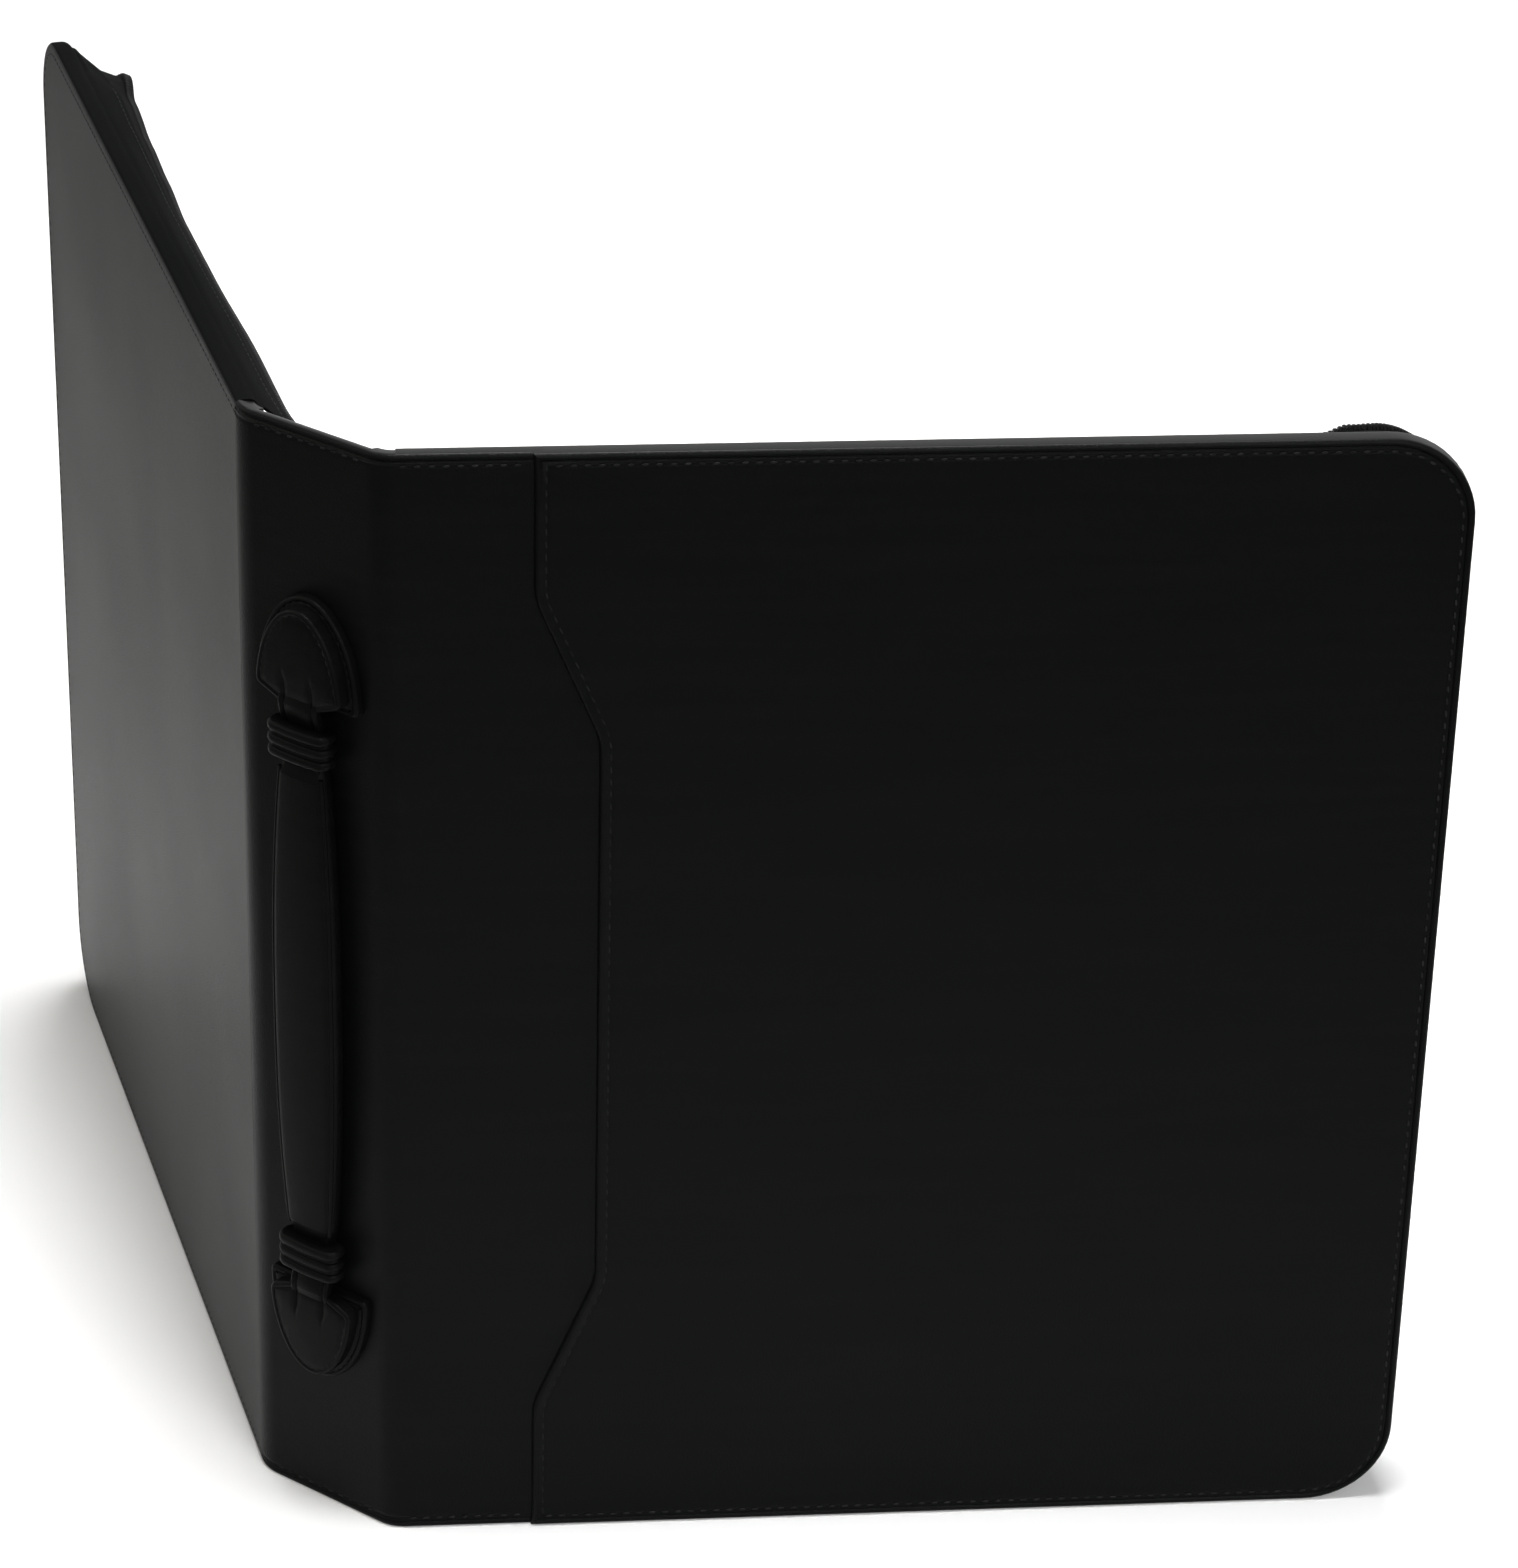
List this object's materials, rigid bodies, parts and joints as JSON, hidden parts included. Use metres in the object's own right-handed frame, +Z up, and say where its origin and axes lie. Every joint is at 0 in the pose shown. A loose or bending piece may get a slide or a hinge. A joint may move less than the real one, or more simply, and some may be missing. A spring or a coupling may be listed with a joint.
{
  "type": "jewelry case",
  "caption": "Book-shaped black leather jewelry case standing half open: padded covers hinged on a spine with a carry handle, zip-around gusset, ring rolls and necklace pad inside.",
  "frame": {"origin": "middle of the spine's foot, on the surface that the case stands on", "axes": "+Z up; X across the spine, with the front cover on the +X side; the handle side faces -Y and the open side +Y"},
  "size_m": [0.4798, 0.209, 0.33],
  "materials": {
    "leather": "smooth satin black",
    "board": "grey bookbinder's board",
    "foam": "thin foam padding",
    "velvet": "short-pile black velvet",
    "satin": "gathered black satin",
    "zip_tape": "woven black tape",
    "zip_chain": "black nylon",
    "zip_metal": "black nickel",
    "peg_metal": "polished nickel"
  },
  "bodies": {
    "spine": {"spine_leather": "leather", "spine_board": "board", "spine_lining": "velvet", "front_fold_roll": "leather", "rear_fold_roll": "leather", "upper_moon_base": "leather", "lower_moon_base": "leather", "upper_moon_patch": "leather", "lower_moon_patch": "leather", "upper_strap_neck": "leather", "lower_strap_neck": "leather"},
    "handle": {"handle_strap": "leather", "handle_grip": "leather", "upper_keeper": "leather", "lower_keeper": "leather"},
    "front_cover": {"front_wrap": "leather", "front_panel": "leather", "front_padding": "foam", "front_board": "board", "front_lining": "velvet", "ring_tray": "velvet", "ring_tray_base": "board", "ring_rolls": "velvet", "front_gusset": "leather", "front_zip_tape": "zip_tape", "front_zip_chain": "zip_chain", "front_zip_stops": "zip_metal"},
    "rear_cover": {"rear_leather": "leather", "rear_padding": "foam", "rear_board": "board", "rear_lining": "velvet", "necklace_pad": "velvet", "necklace_pegs": "peg_metal", "catch_pocket": "satin", "pocket_hem": "satin", "rear_gusset": "leather", "rear_zip_tape": "zip_tape", "rear_zip_chain": "zip_chain", "rear_zip_stops": "zip_metal"},
    "zip_slider": {"zip_slider": "zip_metal"},
    "zip_pull": {"zip_pull": "zip_metal"}
  },
  "joints": [
    {"name": "front_cover_fold", "type": "hinge", "parent": "spine", "child": "front_cover", "pos_m": [0.02225, 0, 0], "axis": [0, 0, 1], "range_deg": [-40.9, 49.1]},
    {"name": "rear_cover_fold", "type": "hinge", "parent": "spine", "child": "rear_cover", "pos_m": [-0.02225, 0, 0], "axis": [0, 0, -1], "range_deg": [-37.3, 52.7]},
    {"name": "handle_lift", "type": "slide", "parent": "spine", "child": "handle", "axis": [0, -1, 0], "range_m": [0, 0.012], "deforming": ["upper_strap_neck", "lower_strap_neck"]},
    {"name": "zip_run", "type": "slide", "parent": "front_cover", "child": "zip_slider", "axis": [0.7559, 0.6547, 0], "range_m": [0, 0.16]},
    {"name": "zip_pull_swing", "type": "hinge", "parent": "zip_slider", "child": "zip_pull", "pos_m": [0.02764, 0.03043, 0.31713], "axis": [0.4465, -0.5155, 0.7314], "range_deg": [0, 150]}
  ]
}
